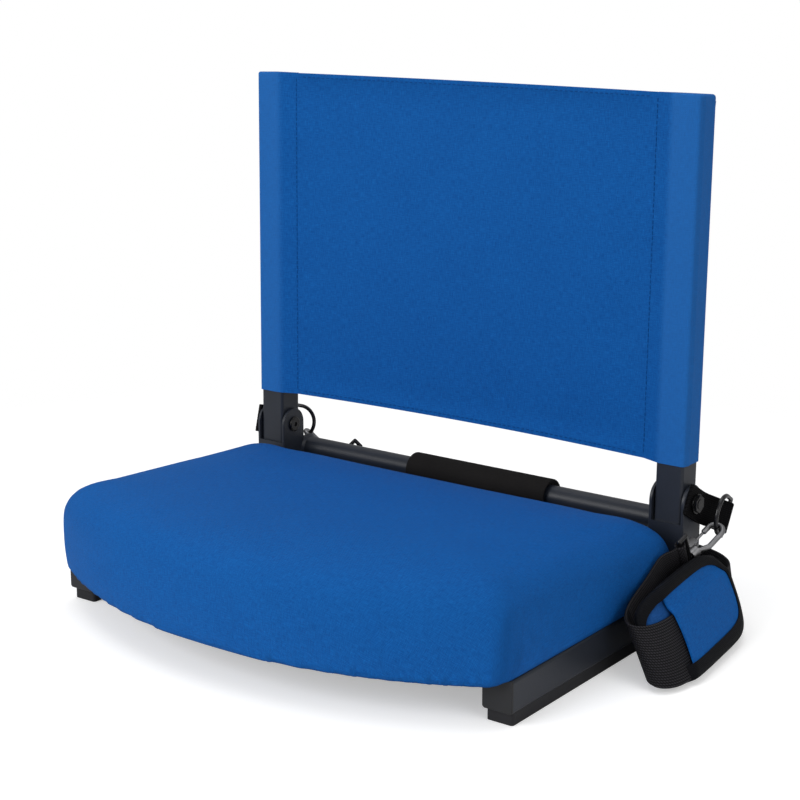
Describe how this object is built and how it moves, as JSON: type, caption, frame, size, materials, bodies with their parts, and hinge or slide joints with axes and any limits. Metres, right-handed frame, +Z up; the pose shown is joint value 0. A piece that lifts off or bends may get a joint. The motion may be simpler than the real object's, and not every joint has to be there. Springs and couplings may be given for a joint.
{
  "type": "portable stadium seat",
  "caption": "Portable stadium seat: padded cushion on a low rail frame, folding canvas back on posts, rear grip tube and a clip-on shoulder strap with a pad.",
  "frame": {"origin": "on the ground under the middle of the seat, without its strap", "axes": "+X across the seat, to the right as seen from the front; +Y to the rear; +Z up"},
  "size_m": [0.5092, 0.3925, 0.4178],
  "materials": {
    "frame_paint": "satin powder coat",
    "plug_plastic": "moulded, matte",
    "bush_plastic": "moulded, matte",
    "runner_rubber": "ribbed, matte",
    "fastener_steel": "zinc plated",
    "grip_rubber": "soft foam rubber, matte",
    "canvas_blue": "woven coated canvas",
    "board_wood": "plywood",
    "foam": "open cell foam",
    "under_cloth": "thin dust cloth",
    "webbing": "ribbed webbing",
    "hook_metal": "dull zinc die casting and wire",
    "strap_plastic": "moulded, satin",
    "pad_cloth": "padded cloth with black binding",
    "flap_canvas": "woven coated canvas"
  },
  "bodies": {
    "seat_frame": {"rail_right": "frame_paint", "rail_left": "frame_paint", "hinge_bracket_right": "frame_paint", "hinge_bracket_left": "frame_paint", "cross_tube": "frame_paint", "rail_plug_front_right": "plug_plastic", "rail_plug_front_left": "plug_plastic", "rail_plug_rear_right": "plug_plastic", "rail_plug_rear_left": "plug_plastic", "pivot_washers": "bush_plastic", "runner_right": "runner_rubber", "runner_left": "runner_rubber", "board_screws": "fastener_steel", "runner_screws": "fastener_steel", "bracket_rivets": "fastener_steel", "pivot_bolt_right": "fastener_steel", "pivot_bolt_left": "fastener_steel", "pivot_nut_right": "fastener_steel", "pivot_nut_left": "fastener_steel", "hem_staples": "fastener_steel", "grip": "grip_rubber", "seat_cover": "canvas_blue", "seat_board": "board_wood", "seat_foam": "foam", "under_cloth": "under_cloth", "strap_tab_right": "webbing", "strap_tab_left": "webbing", "strap_webbing": "webbing", "d_ring_right": "hook_metal", "d_ring_left": "hook_metal", "hook_eye_right": "hook_metal", "hook_eye_left": "hook_metal", "snap_hook_right": "hook_metal", "snap_hook_left": "hook_metal", "strap_slider": "strap_plastic", "shoulder_pad": "pad_cloth", "pad_flap": "flap_canvas"},
    "backrest": {"back_post_right": "frame_paint", "back_post_left": "frame_paint", "post_plug_top_right": "plug_plastic", "post_plug_top_left": "plug_plastic", "post_plug_bottom_right": "plug_plastic", "post_plug_bottom_left": "plug_plastic", "pivot_bush_right": "bush_plastic", "pivot_bush_left": "bush_plastic", "back_sling": "canvas_blue"},
    "gate_right": {"hook_gate_right": "hook_metal"},
    "gate_left": {"hook_gate_left": "hook_metal"}
  },
  "joints": [
    {"name": "back_fold", "type": "hinge", "parent": "seat_frame", "child": "backrest", "pos_m": [0, 0.145, 0.0995], "axis": [1, 0, 0], "range_deg": [0, 82]},
    {"name": "gate_spring_right", "type": "hinge", "parent": "seat_frame", "child": "gate_right", "pos_m": [0.22429, 0.13765, 0.06954], "axis": [-0.1229, 0.5313, -0.8382], "range_deg": [0, 40], "stiffness_Nm_per_rad": 0.02, "springref_deg": -17.19},
    {"name": "gate_spring_left", "type": "hinge", "parent": "seat_frame", "child": "gate_left", "pos_m": [-0.18458, 0.18467, 0.0652], "axis": [-0.5918, -0.3679, -0.7172], "range_deg": [0, 40], "stiffness_Nm_per_rad": 0.02, "springref_deg": -17.19}
  ]
}
